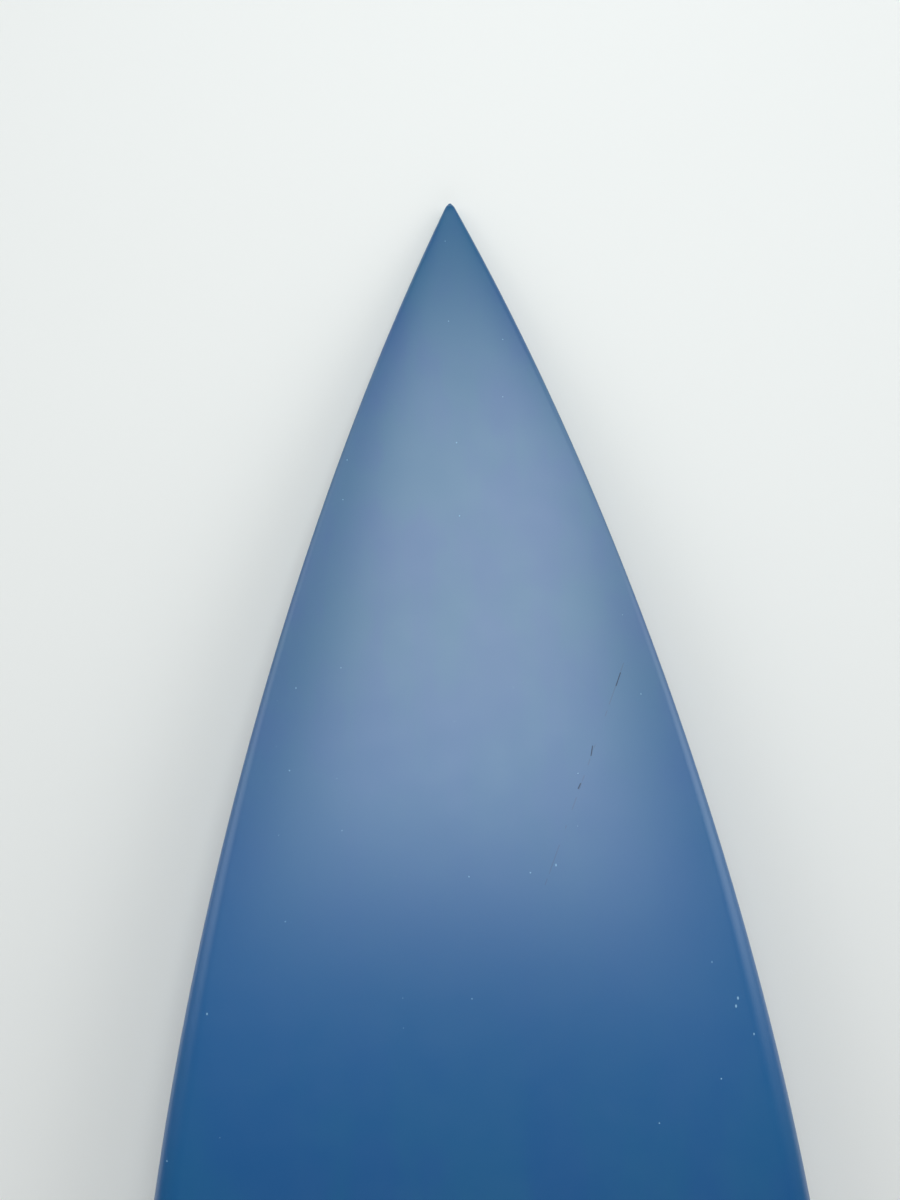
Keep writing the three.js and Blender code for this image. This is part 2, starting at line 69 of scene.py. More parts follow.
LENGTH = 1.880
HALF_WIDTH = 0.237
THICKNESS = 0.059
WIDE_POINT = 0.910
THICK_POINT = 0.890
FLAT_POINT = 1.000
NOSE_ROCKER = 0.127
NOSE_ROCKER_POWER = 2.05
TAIL_ROCKER = 0.057
NOSE_THICKNESS = 0.009
TAIL_THICKNESS = 0.015
NOSE_THICKNESS_POWER = 1.8
TIP_HALF_WIDTH = 0.0025
TIP_POINT_SHARE = 0.55  # of that half width, left at the very point of the nose
NOSE_HANDLE = 0.391
NOSE_ANGLE = 0.432
WIDE_HANDLE_FRONT = 0.184
WIDE_HANDLE_BACK = 0.440
TAIL_HALF_WIDTH = 0.072
TAIL_HANDLE = 0.150
TAIL_ANGLE = 0.62
TAIL_CORNER = 0.014
TAIL_BULGE = 0.006
TAIL_BULGE_LENGTH = 0.080
TIP_ROUND = 0.003
NOSE_EDGE_ROUND = 0.006
TAIL_EDGE_ROUND = 0.007
END_EDGE_SHARE = 0.2  # of the thickness, left at the very ends
TUCK_RATIO = 1.8  # of the lower rail's width to its height
BELLY_SHARE = 0.05  # how far the bottom turns up at the rails, as a share of the half width
BELLY_END = 0.850
BELLY_FADE = 0.600
CONCAVE_DEPTH = 0.0025
CONCAVE_START = 0.350
CONCAVE_GROWTH = 0.400
CONCAVE_FADE = 0.300
APEX_SHARE = 0.25  # height of the rail's widest line, as a share of the thickness
TAIL_APEX_SHARE = 0.3
DECK_POWER = 2
TAIL_DECK_POWER = 3.6
DECK_RAIL_POWER = 1.8
LAMINATE = 0.001
SKIN_SHARE = 0.3  # the most that the skin takes of the half width or height, where the ends close

PLUG_RADIUS = 0.014
PLUG_DEPTH = 0.016
PLUG_CHAMFER = 0.00025
PLUG_SEAM = 0.00012
SLOT = (0.007, 0.0228, 0.0144)
TAB = (0.0062, 0.022, 0.0136)
TAB_SHOULDER = 0.0008
TAB_ROUND = 0.0007
TAB_Y = {"front": 0.0295, "rear": -0.0305}
SCREW_RADIUS = 0.0025
SCREW_LENGTH = 0.008
SCREW_POINT = 0.001
SCREW_TILT = math.radians(30)
SCREW_HEX = 0.00139
SCREW_SOCKET = 0.003
SCREW_AT = (0.0043, 0.0085)  # its point, from the middle of the plug's mouth
SCREW_HOLE_RADIUS = 0.0028
SCREW_HOLE_PAST_POINT = 0.001
CONE_EDGE_ROUND = 0.0003
THREAD_FROM_CONE = 0.0002
THREAD_PITCH = 0.0008
THREAD_DEPTH = 0.0004
THREAD_FLAT = 0.0001
SOCKET_CHAMFER = (1.12, 0.00015)  # its width, in hexagons, and its depth
SOCKET_POINT = (0.3, 0.0034)

FIN_BASE = 0.111
FIN_DEPTH = 0.115
FIN_ROOT_THICKNESS = 0.0066
FIN_TIP_THICKNESS = 0.0016
FIN_EDGE = 0.0007
FIN_CLEARANCE = 0.0003
FIN_TIP_FROM = 0.999  # where the very tip starts, along the edges' curves
FIN_TIP_THINNING = 0.75  # the share of its thickness that the very tip loses
CENTRE_FIN_FROM_TAIL = 0.089

CUP_RADIUS = 0.014
CUP_INNER = 0.011
CUP_DEPTH = 0.0155
CUP_FLOOR = 0.0022
CUP_PROUD = 0.0005
CUP_ROUND = 0.0006
CUP_LIP_ROUND = 0.0004
CUP_FLOOR_ROUND = 0.003
RIM_MIDDLE = 0.0122
PIN_RADIUS = 0.002
PIN_BELOW_RIM = 0.0047
PIN_HALF = 0.0137
PIN_CHAMFER = 0.0003
PIN_CLEARANCE = 0.0001

ROUND_SIDES = 96
HOLE_SIDES = 48
SCREW_SIDES = 72

# ---- The board's colour and marks, with places as (x, y) in the row frame ----

DEEP_BLUE = (0, 78, 134)
GREENER_BLUE = (0, 88, 131)
# The paler blue is painted light: the colour of a band of painted reflection, not of the pigment.
PAINTED_REFLECTION_BLUE = (0, 91, 149)
SCRATCH_BLUE = (0, 30, 66)
CHIP_BLUE = (150, 190, 218)
BOARD_ROUGHNESS = (0.34, 0.40)
MARK_ROUGHNESS = 0.9
PAINTED_REFLECTION_AT = 0.375  # the middle of a paler band painted in as a reflection, along y
PAINTED_REFLECTION_EVERY = 0.56
PAINTED_REFLECTION_WANDER = 0.12
PAINTED_REFLECTION_FADE = (0.50, 0.70)  # the painted reflection band fades out towards the nose
SCRATCHES = [  # start, end and depth
    ((0.1176, 0.5721), (0.0509, 0.4139), 0.35),
    ((0.1120, 0.5584), (0.1080, 0.5488), 0.95),
    ((0.0888, 0.5075), (0.0872, 0.5004), 0.90),
    ((0.0790, 0.4819), (0.0769, 0.4780), 0.90),
]
SCRATCH_WIDTH = 0.00055
NICKS = [  # x, y and radius
    (0.1793, 0.3355, 0.0008),
    (0.1776, 0.3304, 0.0008),
    (0.1886, 0.3120, 0.0006),
    (0.1631, 0.3595, 0.0005),
    (0.1258, 0.5426, 0.0004),
    (0.0591, 0.4270, 0.0007),
    (-0.1827, 0.3350, 0.0006),
    (-0.1216, 0.5538, 0.0005),
]
NICK_SHAPE = (1, 0.6, 1)
SPECK_SCALE = 24.0  # cells in a metre
SPECK_SIZE = 0.0005

# ---- Small helpers ----


def smoothstep(t):
    t = np.clip(t, 0, 1)
    return t * t * (3 - 2 * t)


def mix(a, b, t):
    return a + (b - a) * t


def round_off(distance, radius):
    """0 at an end and 1 at a distance of radius from it, as a quarter circle."""
    left = 1 - np.clip(distance / radius, 0, 1)
    return np.sqrt(1 - left * left)


def bezier(points, t):
    """A cubic Bezier curve's points at each t."""
    a, b, c, d = (np.asarray(p, float) for p in points)
    t = np.asarray(t, float)[..., None]
    return a * (1 - t) ** 3 + 3 * b * t * (1 - t) ** 2 + 3 * c * t**2 * (1 - t) + d * t**3


def mesh_object(name, points, faces):
    mesh = bpy.data.meshes.new(name)
    mesh.from_pydata([tuple(p) for p in points], [], [tuple(int(i) for i in f) for f in faces])
    mesh.validate()
    obj = bpy.data.objects.new(name, mesh)
    bpy.context.scene.collection.objects.link(obj)
    return obj


def outward(obj):
    """Turns every face of a closed mesh outwards."""
    shape = bmesh.new()
    shape.from_mesh(obj.data)
    bmesh.ops.recalc_face_normals(shape, faces=shape.faces)
    shape.to_mesh(obj.data)
    shape.free()
    return obj


def applied(obj):
    """Puts what the object's modifiers make into its mesh."""
    bpy.context.view_layer.update()
    made = bpy.data.meshes.new_from_object(obj.evaluated_get(bpy.context.evaluated_depsgraph_get()))
    obj.modifiers.clear()
    obj.data = made
    made.name = obj.name
    return obj


def combine(obj, others, operation):
    """Cuts the other objects from obj, or joins them to it, and removes them."""
    for other in others:
        modifier = obj.modifiers.new(operation, "BOOLEAN")
        modifier.operation = operation
        modifier.solver = "EXACT"
        modifier.object = other
    applied(obj)
    for other in others:
        bpy.data.objects.remove(other)


def bevel(obj, width):
    modifier = obj.modifiers.new("bevel", "BEVEL")
    modifier.width = width
    modifier.segments = 2
    modifier.angle_limit = math.radians(30)
    modifier.harden_normals = False
    return applied(obj)


def smooth(obj, degrees):
    """Shades smooth, but for edges sharper than the angle."""
    obj.data.shade_smooth()
    obj.data.set_sharp_from_angle(angle=math.radians(degrees))


def finished(obj, node, body, material):
    """Gives a piece its material, its body and the CAD node that it stands for."""
    obj.data.materials.clear()
    obj.data.materials.append(material)
    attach(obj, body)
    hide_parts(node)


def lathe(name, profile, sides):
    """A closed body turned about Z. Its profile runs from the axis to the axis, as (radius, z)."""
    points = [(0, 0, profile[0][1])]
    for radius, z in profile[1:-1]:
        for i in range(sides):
            a = 2 * math.pi * i / sides
            points.append((radius * math.cos(a), radius * math.sin(a), z))
    points.append((0, 0, profile[-1][1]))
    last = len(points) - 1
    rings = len(profile) - 2
    faces = []
    for i in range(sides):
        j = (i + 1) % sides
        faces.append((0, 1 + j, 1 + i))
        faces.append((last, last - sides + i, last - sides + j))
        for r in range(rings - 1):
            a, b = 1 + r * sides, 1 + (r + 1) * sides
            faces.append((a + i, a + j, b + j, b + i))
    return outward(mesh_object(name, points, faces))


def band_faces(rings, around):
    """Quads between each ring of points and the next, for rings of the same number of points."""
    return [
        (k * around + i, k * around + j, (k + 1) * around + j, (k + 1) * around + i)
        for k in range(rings - 1)
        for i, j in ((i, (i + 1) % around) for i in range(around))
    ]


def box_object(name, size, middle):
    shape = bmesh.new()
    bmesh.ops.create_cube(shape, size=1)
    bmesh.ops.scale(shape, vec=size, verts=shape.verts)
    bmesh.ops.translate(shape, vec=middle, verts=shape.verts)
    mesh = bpy.data.meshes.new(name)
    shape.to_mesh(mesh)
    shape.free()
    obj = bpy.data.objects.new(name, mesh)
    bpy.context.scene.collection.objects.link(obj)
    return obj


def arc(middle, radius, start, end, steps):
    """Points of an arc as (x, z), with its angles in degrees."""
    angles = [math.radians(mix(start, end, i / steps)) for i in range(steps + 1)]
    return [(middle[0] + radius * math.cos(a), middle[1] + radius * math.sin(a)) for a in angles]


# ---- The board's shape ----

NOSE_OUTLINE = (
    (0, TIP_HALF_WIDTH),
    (NOSE_HANDLE * math.cos(NOSE_ANGLE), TIP_HALF_WIDTH + NOSE_HANDLE * math.sin(NOSE_ANGLE)),
    (WIDE_POINT - WIDE_HANDLE_FRONT, HALF_WIDTH),
    (WIDE_POINT, HALF_WIDTH),
)
TAIL_OUTLINE = (
    (WIDE_POINT, HALF_WIDTH),
    (WIDE_POINT + WIDE_HANDLE_BACK, HALF_WIDTH),
    (LENGTH - TAIL_HANDLE * math.cos(TAIL_ANGLE), TAIL_HALF_WIDTH + TAIL_HANDLE * math.sin(TAIL_ANGLE)),
    (LENGTH, TAIL_HALF_WIDTH),
)
OUTLINE = np.vstack([bezier(curve, np.linspace(0, 1, 3000)) for curve in (NOSE_OUTLINE, TAIL_OUTLINE)])


def half_width(s):
    tip = mix(TIP_POINT_SHARE, 1, round_off(s, TIP_ROUND))
    corner = TAIL_CORNER * (1 - round_off(LENGTH - s, TAIL_CORNER))
    return np.interp(s, OUTLINE[:, 0], OUTLINE[:, 1]) * tip - corner


def rocker(s):
    nose = NOSE_ROCKER * np.clip(1 - s / FLAT_POINT, 0, 1) ** NOSE_ROCKER_POWER
    tail = TAIL_ROCKER * (np.clip(s - FLAT_POINT, 0, None) / (LENGTH - FLAT_POINT)) ** 2
    return nose + tail


def thickness(s):
    nose = np.clip(1 - s / THICK_POINT, 0, 1) ** NOSE_THICKNESS_POWER
    tail = (np.clip(s - THICK_POINT, 0, None) / (LENGTH - THICK_POINT)) ** 2
    return THICKNESS - (THICKNESS - NOSE_THICKNESS) * nose - (THICKNESS - TAIL_THICKNESS) * tail


def towards_tail(s):
    return smoothstep((s - FLAT_POINT) / (LENGTH - FLAT_POINT))


def apex_height(s):
    return thickness(s) * mix(APEX_SHARE, TAIL_APEX_SHARE, towards_tail(s))


def concave(s):
    grown = smoothstep((s - CONCAVE_START) / CONCAVE_GROWTH)
    return CONCAVE_DEPTH * grown * smoothstep((LENGTH - s) / CONCAVE_FADE)


def edge_round(s):
    """What is left of the thickness where the board's two ends are rounded over."""
    ends = np.minimum(round_off(s, NOSE_EDGE_ROUND), round_off(LENGTH - s, TAIL_EDGE_ROUND))
    return np.maximum(END_EDGE_SHARE, ends)


def belly(s, x):
    """How far the bottom rises towards the rails in the front of the board."""
    half = half_width(s)
    return BELLY_SHARE * half * smoothstep((BELLY_END - s) / BELLY_FADE) * np.abs(x / half) ** 3


def tuck(s):
    """How far in from the widest line the lower rail starts to turn."""
    half = half_width(s)
    reach = TUCK_RATIO * (apex_height(s) - belly(s, half))
    return reach * half / (half + reach)


def bottom_height(s, x):
    """Height of the bottom at s and x, inside the rail's curve."""
    across = x / (half_width(s) - tuck(s))
    return rocker(s) + concave(s) * (1 - across**2) ** 2 + belly(s, x)


NOSE_ZONE = 0.012  # the ends have closer stations of their own
TAIL_ZONE = 0.030
TAIL_START = LENGTH - TAIL_ZONE
NOSE_CROWDING = 1.35
TAIL_CROWDING = 1.2
STATIONS = np.unique(
    np.concatenate(
        [
            NOSE_ZONE * np.linspace(0, 1, 13) ** 2,
            NOSE_ZONE + (WIDE_POINT - NOSE_ZONE) * np.linspace(0, 1, 76) ** NOSE_CROWDING,
            TAIL_START - (TAIL_START - WIDE_POINT) * np.linspace(1, 0, 66) ** TAIL_CROWDING,
            LENGTH - TAIL_ZONE * np.linspace(1, 0, 16) ** 2,
        ]
    ).round(7)
)
FLAT_STEPS = 16
TUCK_STEPS = 14
DECK_STEPS = 34
CAP_TURNS = np.radians([22, 45, 68, 90])
NOSE_CAP = (0.6, 0.0009)  # how much narrower its end is, and how far it stands out
TAIL_CAP = (0.02, 0.0006)
NEAR_NORMALS = 4


def bottom_half(s):
    """x and the height over the rail's apex line, from the middle of the bottom to the apex."""
    half, reach = half_width(s), tuck(s)
    lift = belly(s, half)
    across = np.linspace(0, 1, FLAT_STEPS + 1)[:-1]
    turn = np.linspace(0, math.pi / 2, TUCK_STEPS + 1)
    x = np.concatenate([across * (half - reach), half - reach + reach * np.sin(turn)])
    flat = concave(s) * (1 - across**2) ** 2 + lift - apex_height(s)
    rail = (lift - apex_height(s)) * np.cos(turn)
    return x, (np.concatenate([flat, rail]) + belly(s, x) - lift) * edge_round(s)


def deck_half(s):
    """The same, from the rail's apex to the middle of the deck."""
    power = mix(DECK_POWER, TAIL_DECK_POWER, towards_tail(s))
    above = (thickness(s) - apex_height(s)) * edge_round(s)
    turn = np.linspace(0, math.pi / 2, DECK_STEPS + 1)
    x = half_width(s) * np.clip(np.cos(turn), 0, None) ** (2 / power)
    x[-1] = 0
    return x, above * np.sin(turn) ** (2 / DECK_RAIL_POWER)


def across_board(s, half_line, middle_last):
    """One row of points across the board at s, from the left rail's apex to the right rail's."""
    x, up = half_line(s)
    if middle_last:
        x, up = x[::-1], up[::-1]
    x = np.concatenate([-x[:0:-1], x])
    up = np.concatenate([up[:0:-1], up])
    bow = TAIL_BULGE * smoothstep((s - LENGTH) / TAIL_BULGE_LENGTH + 1)
    y = bow * (x / TAIL_HALF_WIDTH) ** 2 - s
    return np.stack([x, y, up], axis=-1), rocker(s) + apex_height(s)


def surface_grid(half_line, middle_last):
    """Rows of points over one side of the board, with the two ends rounded over to the apex line."""
    rows = []
    nose, apex = across_board(0.0, half_line, middle_last)
    for turn in CAP_TURNS[::-1]:
        shrink = 1 - NOSE_CAP[0] * (1 - math.cos(turn))
        rows.append(nose * (shrink, 1, math.cos(turn)) + (0, NOSE_CAP[1] * math.sin(turn), apex))
    for s in STATIONS:
        row, apex = across_board(s, half_line, middle_last)
        rows.append(row + (0, 0, apex))
    tail, apex = across_board(LENGTH, half_line, middle_last)
    for turn in CAP_TURNS:
        shrink = 1 - TAIL_CAP[0] * (1 - math.cos(turn))
        rows.append(tail * (shrink, 1, math.cos(turn)) + (0, -TAIL_CAP[1] * math.sin(turn), apex))
    return np.array(rows)


def grid_faces(rows, columns, start, flip):
    i, j = np.meshgrid(np.arange(rows - 1), np.arange(columns - 1), indexing="ij")
    a = (start + i * columns + j).ravel()
    quads = np.stack([a, a + 1, a + columns + 1, a + columns], axis=-1)
    return quads[:, ::-1] if flip else quads


def surface_normals(grids):
    """The normal at every point of the grids, which meet along their edges as one closed surface."""
    points = np.vstack([grid.reshape(-1, 3) for grid in grids])
    keys, same = np.unique((points * 1e8).round().astype(np.int64), axis=0, return_inverse=True)
    same = same.ravel()
    total = np.zeros((len(keys), 3))
    start = 0
    for grid, flip in zip(grids, (False, True)):
        faces = grid_faces(grid.shape[0], grid.shape[1], start, flip)
        corner = points[faces]
        normal = np.cross(corner[:, 2] - corner[:, 0], corner[:, 3] - corner[:, 1])
        size = np.linalg.norm(normal, axis=1, keepdims=True)
        normal = normal / np.maximum(size, 1e-15) * np.sqrt(size)
        for k in range(4):
            np.add.at(total, same[faces[:, k]], normal)
        start += grid.shape[0] * grid.shape[1]
    total /= np.linalg.norm(total, axis=1, keepdims=True)
    return points, total[same]


def skin_depth(grid):
    """How far the inside of the skin lies below its surface: thinner where the board's ends close."""
    s = np.clip(-grid[..., 1], 0, LENGTH)
    least = np.minimum(half_width(s), apex_height(s) * edge_round(s))
    return np.minimum(LAMINATE, SKIN_SHARE * least)


def skin(name, grid, normals, flip, to_row):
    """A closed shell: the grid, the same grid moved inwards, and a rim that joins them."""
    rows, columns = grid.shape[:2]
    inside = grid - normals * skin_depth(grid)[..., None]
    points = np.vstack([grid.reshape(-1, 3), inside.reshape(-1, 3)])
    count = rows * columns
    outer = grid_faces(rows, columns, 0, flip)
    inner = grid_faces(rows, columns, count, not flip)
    index = np.arange(count).reshape(rows, columns)
    loop = np.concatenate([index[0, :-1], index[:-1, -1], index[-1, :0:-1], index[:0:-1, 0]])
    after = np.roll(loop, -1)
    rim = np.stack([loop, loop + count, after + count, after], axis=-1)
    obj = mesh_object(name, points, np.vstack([outer, inner, rim]).tolist())
    obj.data.transform(to_row)
    return outward(obj)


def follow_surface(obj, points, normals):
    """Shades the outside of a skin by the whole board's surface, so that no rim or hole shows in it."""
    tree = kdtree.KDTree(len(points))
    for i, p in enumerate(points):
        tree.insert(p, i)
    tree.balance()
    mesh = obj.data
    near = []
    for vertex in mesh.vertices:
        total = Vector((0, 0, 0))
        for _, i, distance in tree.find_n(vertex.co, NEAR_NORMALS):
            total += Vector(normals[i]) / max(distance, 1e-7) ** 2
        near.append(total.normalized())
    shading = [Vector((0, 0, 0))] * len(mesh.loops)
    for face in mesh.polygons:
        for i in face.loop_indices:
            wanted = near[mesh.loops[i].vertex_index]
            shading[i] = wanted if wanted.dot(face.normal) > 0.5 else face.normal.copy()
    mesh.shade_smooth()
    mesh.normals_split_custom_set(shading)


# ---- Where the pieces are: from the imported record's joints and mounts ----


def placed(x_axis, y_axis, z_axis, origin):
    matrix = Matrix((x_axis, y_axis, z_axis)).transposed().to_4x4()
    matrix.translation = origin
    return matrix


def clamp_side(name):
    """The side of the fin that its screws press on: the flat inner face of a side fin."""
    return {"right": -1, "left": 1, "centre": 1}[name]


def fin_set_frame(name):
    """The fin's frame: origin at the middle of its base, +Y to the nose and +Z into the board."""
    front, rear = (Vector(JOINTS[f"{name}_{place}_screw_turn"]["pos_m"]) for place in ("front", "rear"))
    z_axis = -Vector(JOINTS[f"{name}_fin_pull"]["axis"]).normalized()
    y_axis = (front - rear).normalized()
    x_axis = y_axis.cross(z_axis).normalized()
    y_axis = z_axis.cross(x_axis)
    matrix = placed(x_axis, y_axis, z_axis, (0, 0, 0))
    screw = Vector((clamp_side(name) * SCREW_AT[0], TAB_Y["front"], SCREW_AT[1]))
    matrix.translation = front - matrix.to_3x3() @ screw
    return matrix


def board_to_row():
    """Carries the shaper's frame to the row frame: the centre fin's frame is known in both."""
    s = LENGTH - CENTRE_FIN_FROM_TAIL - FIN_BASE / 2
    step = 0.001
    slope = (rocker(s + step) - rocker(s - step)) / (2 * step)
    base = Matrix.Translation((0, -s, bottom_height(s, 0)))
    there = base @ Matrix.Rotation(-math.atan(slope), 4, "X")
    return fin_set_frame("centre") @ there.inverted()


def leash_frame():
    """The leash cup's frame: origin on the deck, +Z out of the deck, +Y to the nose."""
    rim = MOUNTS["leash_rim"]
    z_axis = Vector(rim["axis"]).normalized()
    x_axis = Vector((-1, 0, 0))
    x_axis = (x_axis - z_axis * x_axis.dot(z_axis)).normalized()
    origin = Vector(rim["pos_m"]) - x_axis * RIM_MIDDLE - z_axis * CUP_PROUD
    return placed(x_axis, z_axis.cross(x_axis), z_axis, origin)


TO_ROW = board_to_row()
FIN_SETS = {name: fin_set_frame(name) for name in ("right", "left", "centre")}
LEASH = leash_frame()
DROP_STEPS = 4  # of the search below: each step leaves little of the error


def surface_drop(matrix, x, y):
    """How far into the board, along a fin frame's z, the bottom lies at the fin frame's x and y."""
    to_board = TO_ROW.inverted() @ matrix
    z = 0.0
    for _ in range(DROP_STEPS):
        p = to_board @ Vector((x, y, z))
        z -= p.z - bottom_height(-p.y, p.x)
    return z


# ---- Materials ----


class Nodes:
    """A material's node tree, with short ways to add and join nodes."""

    def __init__(self, name):
        self.material = bpy.data.materials.new(name)
        self.material.use_nodes = True
        self.tree = self.material.node_tree
        self.shader = self.tree.nodes["Principled BSDF"]
        self.object = self.add("ShaderNodeTexCoord").outputs["Object"]

    def add(self, kind, inputs=None, **settings):
        node = self.tree.nodes.new(kind)
        for key, value in settings.items():
            setattr(node, key, value)
        for key, value in (inputs or {}).items():
            self.put(value, node.inputs[key])
        return node

    def put(self, value, socket):
        if isinstance(value, bpy.types.NodeSocket):
            self.tree.links.new(value, socket)
        else:
            socket.default_value = value

    def math(self, operation, *values):
        return self.add("ShaderNodeMath", dict(enumerate(values)), operation=operation).outputs[0]

    def vector(self, operation, *values):
        node = self.add("ShaderNodeVectorMath", dict(enumerate(values)), operation=operation)
        return node.outputs["Value" if operation in ("DOT_PRODUCT", "LENGTH") else "Vector"]

    def noise(self, scale, detail, vector=None):
        inputs = {"Vector": vector or self.object, "Scale": scale, "Detail": detail}
        return self.add("ShaderNodeTexNoise", inputs).outputs["Fac"]

    def stretched(self, scale):
        """Object coordinates multiplied along each axis."""
        return self.add("ShaderNodeMapping", {"Vector": self.object, "Scale": scale}).outputs[0]

    def between(self, value, low, high):
        """0 where value is at most low, 1 where it is at least high, smooth between."""
        inputs = {"Value": value, "From Min": low, "From Max": high}
        return self.add("ShaderNodeMapRange", inputs, interpolation_type="SMOOTHSTEP").outputs[0]

    def spread(self, value, low, high):
        """A 0 to 1 value taken to the range from low to high."""
        inputs = {"Value": value, "To Min": low, "To Max": high}
        return self.add("ShaderNodeMapRange", inputs).outputs[0]

    def blend(self, share, a, b):
        node = self.add("ShaderNodeMix", data_type="RGBA")
        self.put(share, node.inputs["Factor"])
        self.put(a, node.inputs["A"])
        self.put(b, node.inputs["B"])
        return node.outputs["Result"]

    def bump(self, height, distance, strength=1.0):
        inputs = {"Height": height, "Distance": distance, "Strength": strength}
        self.put(self.add("ShaderNodeBump", inputs).outputs[0], self.shader.inputs["Normal"])

    def set(self, **values):
        """Sets the shader's sockets, with _ for a space in each name."""
        for key, value in values.items():
            self.put(value, self.shader.inputs[key.replace("_", " ")])


def srgb(red, green, blue):
    """A colour given as 0 to 255 in sRGB, as Blender's linear colour."""
    levels = [c / 255 for c in (red, green, blue)]
    return (*[c / 12.92 if c <= 0.04045 else ((c + 0.055) / 1.055) ** 2.4 for c in levels], 1.0)


def hairline(n, start, end):
    """1 on a fine scratch between two points (x, y), 0 off it."""
    start, end = Vector((*start, 0)), Vector((*end, 0))
    length = (end - start).length
    along_line = (end - start) / length
    across_line = Vector((-along_line.y, along_line.x, 0))
    from_start = n.vector("SUBTRACT", n.object, tuple(start))
    along = n.vector("DOT_PRODUCT", from_start, tuple(along_line))
    across = n.math("ABSOLUTE", n.vector("DOT_PRODUCT", from_start, tuple(across_line)))
    near = n.between(across, SCRATCH_WIDTH, SCRATCH_WIDTH / 3)
    on_it = n.math("MULTIPLY", n.math("GREATER_THAN", along, 0), n.math("LESS_THAN", along, length))
    return n.math("MULTIPLY", near, on_it)


def nick(n, flat, x, y, radius):
    """1 inside a small chip seen from above, 0 outside it. flat is the object's coordinates at z 0."""
    offset = n.vector("SUBTRACT", flat, (x, y, 0))
    across = n.vector("LENGTH", n.vector("MULTIPLY", offset, NICK_SHAPE))
    return n.between(across, radius, radius / 2)


def specks(n):
    """Dust-sized pale specks, in some cells of a loose pattern."""
    inputs = {"Vector": n.object, "Scale": SPECK_SCALE}
    cells = n.add("ShaderNodeTexVoronoi", inputs, voronoi_dimensions="2D")
    chance = n.add("ShaderNodeSeparateColor", {0: cells.outputs["Color"]}).outputs[0]
    size = n.math("MULTIPLY", n.between(chance, 0.6, 1.0), SPECK_SIZE * SPECK_SCALE)
    return n.math("LESS_THAN", cells.outputs["Distance"], size)


def pigment_and_painted_reflection(n):
    """Hand-laid blue: streaks and patches of two blues, and a broad paler band along y every so often, which is a
    painted reflection of bluer light and not part of the blue itself.
    """
    streaks = n.noise(45.0, 3.0, n.stretched((1, 0.12, 1)))
    tone = n.math("MULTIPLY_ADD", streaks, 0.4, n.math("MULTIPLY", n.noise(14.0, 3.0), 0.6))
    blue = n.blend(n.between(tone, 0.38, 0.62), srgb(*DEEP_BLUE), srgb(*GREENER_BLUE))
    # Painted reflection: a paler band along y that stands in for bluer reflected light on the lower nose.
    y = n.add("ShaderNodeSeparateXYZ", {0: n.object}).outputs[1]
    wander = n.math("MULTIPLY_ADD", n.noise(3.0, 2.0), PAINTED_REFLECTION_WANDER, -PAINTED_REFLECTION_AT - PAINTED_REFLECTION_WANDER / 2)
    turn = n.math("MULTIPLY", n.math("ADD", y, wander), 2 * math.pi / PAINTED_REFLECTION_EVERY)
    pale = n.math("MULTIPLY_ADD", n.math("COSINE", turn), 0.5, 0.5)
    pale = n.math("MULTIPLY", pale, n.between(y, PAINTED_REFLECTION_FADE[1], PAINTED_REFLECTION_FADE[0]))
    return n.blend(n.math("MULTIPLY", pale, 0.85), blue, srgb(*PAINTED_REFLECTION_BLUE))


def dark_marks(n, scratches):
    """Scratches, each broken into dashes where the noise is low: more so the fainter it is."""
    breaks = n.noise(110.0, 2.0)
    dark = 0
    for start, end, depth in scratches:
        dashes = n.between(breaks, 0.6 - 0.35 * depth, 0.66 - 0.35 * depth)
        mark = n.math("MULTIPLY", hairline(n, start, end), n.math("MULTIPLY", dashes, depth))
        dark = n.math("MAXIMUM", dark, mark)
    return dark


def light_marks(n, nicks):
    """Dust-sized specks all over, and the small chips."""
    light, flat = specks(n), n.stretched((1, 1, 0))
    for x, y, radius in nicks:
        light = n.math("MAXIMUM", light, nick(n, flat, x, y, radius))
    return light


def board_material(name, scratches=(), nicks=()):
    """Satin sanded resin over the blue, with its small marks duller than the rest."""
    n = Nodes(name)
    dark, light = dark_marks(n, scratches), light_marks(n, nicks)
    blue = n.blend(dark, pigment_and_painted_reflection(n), srgb(*SCRATCH_BLUE))
    blue = n.blend(n.math("MULTIPLY", light, 0.8), blue, srgb(*CHIP_BLUE))
    rough = n.spread(n.noise(40.0, 4.0), *BOARD_ROUGHNESS)
    marked = n.math("MULTIPLY", n.math("MAXIMUM", dark, light), MARK_ROUGHNESS)
    rough = n.math("MAXIMUM", rough, marked)
    n.set(Base_Color=blue, Roughness=rough, IOR=1.6, Specular_IOR_Level=1.0)
    n.bump(n.noise(300.0, 2.0), 0.00003, 0.5)
    return n.material


def plain_material(name, dark, light, rough, metallic=0.0, grain=600.0):
    """One even colour with a fine grain in its colour, roughness and surface."""
    n = Nodes(name)
    n.set(Base_Color=n.blend(n.noise(grain / 6, 4.0), dark, light), Metallic=metallic)
    n.set(Roughness=n.spread(n.noise(grain, 3.0), rough * 0.85, rough * 1.15))
    n.bump(n.noise(grain, 2.0), 0.00002, 0.6)
    return n.material


def wood_material():
    n = Nodes("stringer_wood")
    grain = n.noise(60.0, 5.0, n.stretched((1, 0.02, 1)))
    n.set(Base_Color=n.blend(grain, srgb(176, 132, 82), srgb(214, 176, 124)), Roughness=0.7)
    n.bump(grain, 0.0001)
    return n.material


